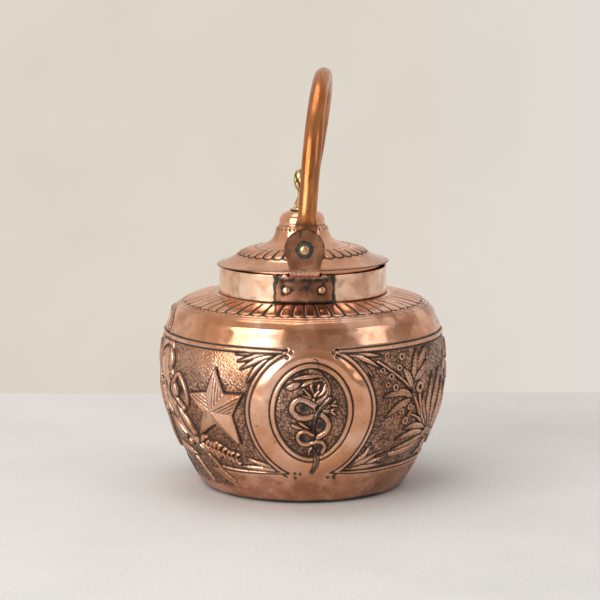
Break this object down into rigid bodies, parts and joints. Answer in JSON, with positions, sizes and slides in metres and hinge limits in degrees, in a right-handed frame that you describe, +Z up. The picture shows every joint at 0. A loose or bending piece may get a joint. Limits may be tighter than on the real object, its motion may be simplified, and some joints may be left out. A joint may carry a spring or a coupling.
{
  "type": "water jug",
  "caption": "Squat embossed copper water jug with a short neck, a lift-off domed lid with a bud finial, and a bail handle that swings on riveted lugs.",
  "frame": {"origin": "centre of the base, on the surface the jug stands on", "axes": "+Z up along the jug's axis; -Y towards the front lug, so the handle's pivot axis lies along Y; the handle rests leaning towards +X"},
  "size_m": [0.215, 0.215, 0.3116],
  "materials": {
    "embossed_copper": "hand-embossed copper, rubbed bright on the high places with dark brown patina in the ground",
    "plain_copper": "burnished copper with faint hammer marks and tarnish",
    "lug_copper": "dull brown copper strip with verdigris at its edges and rivets",
    "rivet_copper": "hammered copper rivets, worn bright on top",
    "handle_copper": "hand-worn copper tube, streaked orange and brown",
    "pin_brass": "peened pins, worn bright, with verdigris beneath",
    "washer_copper": "blackened washers with verdigris",
    "lid_copper": "burnished copper, fluted, with dark patina in the chasing",
    "finial_brass": "cast brass, olive yellow with black recesses"
  },
  "bodies": {
    "vessel": {"body_shell": "embossed_copper", "base_plate": "plain_copper", "neck_ring": "plain_copper", "lug_front": "lug_copper", "lug_back": "lug_copper", "lug_rivets_front": "rivet_copper", "lug_rivets_back": "rivet_copper"},
    "handle": {"handle": "handle_copper", "pivot_pin_front": "pin_brass", "pivot_pin_back": "pin_brass", "pivot_washer_front": "washer_copper", "pivot_washer_back": "washer_copper"},
    "lid": {"lid_shell": "lid_copper", "lid_flange": "lid_copper", "finial_collar": "finial_brass", "finial": "finial_brass", "finial_rove": "finial_brass"}
  },
  "joints": [
    {"name": "handle_swing", "type": "hinge", "parent": "vessel", "child": "handle", "pos_m": [0, 0, 0.1856], "axis": [0, 1, 0], "range_deg": [-122.5, 108.5]},
    {"name": "lid_lift", "type": "slide", "parent": "vessel", "child": "lid", "axis": [0, 0, 1], "range_m": [0, 0.048]}
  ]
}
